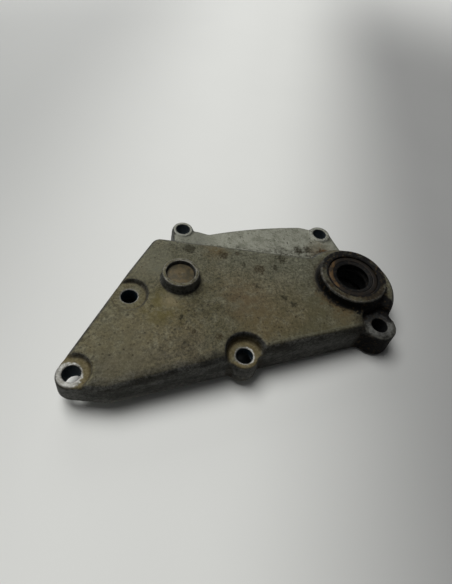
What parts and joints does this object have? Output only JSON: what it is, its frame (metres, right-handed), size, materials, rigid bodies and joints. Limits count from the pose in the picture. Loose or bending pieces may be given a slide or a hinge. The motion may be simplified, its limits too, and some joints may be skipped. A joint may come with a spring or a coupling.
{
  "type": "gearbox cover",
  "caption": "Cast aluminium gearbox cover with a stepped roof, pocketed bolt holes, a sealed shaft boss, a plugged boss and a low rear ledge",
  "frame": {"origin": "Axis of the front bolt hole and its dowel, on the gasket face.", "axes": "+X runs along the front wall towards the shaft seal, +Y across the cover to the low rear ledge, and +Z out of the gearbox."},
  "size_m": [0.1484, 0.088, 0.024],
  "materials": {
    "cast_aluminium": "aged die casting, brownish film, bare worn seats",
    "seal_steel": "rust brown pressed steel",
    "seal_rubber": "black oil-dark rubber",
    "spring_steel": "bright wire",
    "plug_steel": "rust brown pressed steel",
    "dowel_steel": "turned steel"
  },
  "bodies": {
    "root": {"cover_casting": "cast_aluminium", "seal_case": "seal_steel", "seal_lip": "seal_rubber", "garter_spring": "spring_steel", "core_plug": "plug_steel", "front_dowel": "dowel_steel", "rear_dowel": "dowel_steel"}
  },
  "joints": []
}
